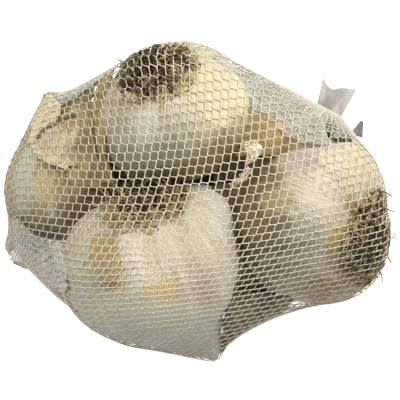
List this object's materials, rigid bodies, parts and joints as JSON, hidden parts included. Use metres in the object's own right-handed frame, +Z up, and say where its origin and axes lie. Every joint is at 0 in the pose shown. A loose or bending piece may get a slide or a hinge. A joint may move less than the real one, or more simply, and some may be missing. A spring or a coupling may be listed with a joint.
{
  "type": "net bag of garlic bulbs",
  "caption": "Knitted net bag drawn tight over garlic bulbs, lying on its side, its gathered neck held by a metal clip with a folded strip of film standing out of it",
  "frame": {"origin": "middle of the bounding box in plan, at the height of the table the bag lies on", "axes": "+Z up, +X to the right as seen in the picture, along the bag's longest side, toward the bulb whose roots point right; +Y away from the viewer, toward the clipped neck"},
  "size_m": [0.1384, 0.1171, 0.0834],
  "materials": {
    "net_bag": "knitted cream white monofilament",
    "closure_clip": "satin",
    "film_fan": "thin white film, silky",
    "film_corner": "thin film in shade"
  },
  "bodies": {
    "root": {"net_bag": "net_bag", "closure_clip": "closure_clip", "film_fan": "film_fan", "film_corner": "film_corner"}
  },
  "joints": []
}
